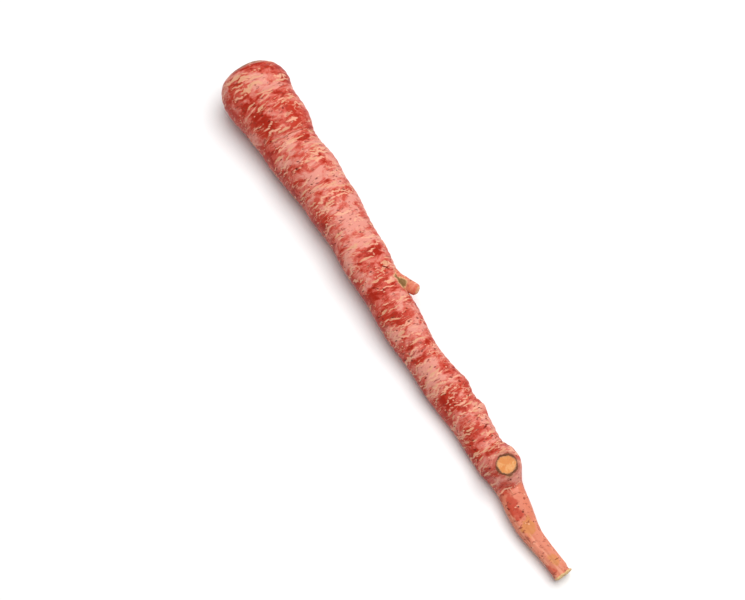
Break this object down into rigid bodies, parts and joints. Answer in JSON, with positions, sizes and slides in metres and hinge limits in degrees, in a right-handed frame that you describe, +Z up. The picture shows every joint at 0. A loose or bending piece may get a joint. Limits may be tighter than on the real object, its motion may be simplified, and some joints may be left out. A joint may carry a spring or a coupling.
{
  "type": "carrot",
  "caption": "long red carrot with its leaves trimmed off, lying down: domed crown with cut leaf stalk bases, lumpy tapering body, cut side root stumps, thin curved tail and cut tip",
  "frame": {"origin": "on the surface it lies on, under the middle of its bounding box", "axes": "+X runs along the root from the crown to the tip, +Z is up, +Y is the side towards which the broken side root points"},
  "size_m": [0.2762, 0.033, 0.0319],
  "materials": {
    "carrot_skin": "fresh red carrot skin, washed: satin, with pale pink bloom, tan scars and dark pits",
    "dry_stalk": "dried, fibrous, tan cut leaf stalk with dark brown edges"
  },
  "bodies": {
    "root": {"taproot": "carrot_skin", "stalk_base_1": "dry_stalk", "stalk_base_2": "dry_stalk", "stalk_base_3": "dry_stalk", "stalk_base_4": "dry_stalk", "stalk_base_5": "dry_stalk", "stalk_base_6": "dry_stalk", "stalk_base_7": "dry_stalk", "heart_bud": "dry_stalk"}
  },
  "joints": []
}
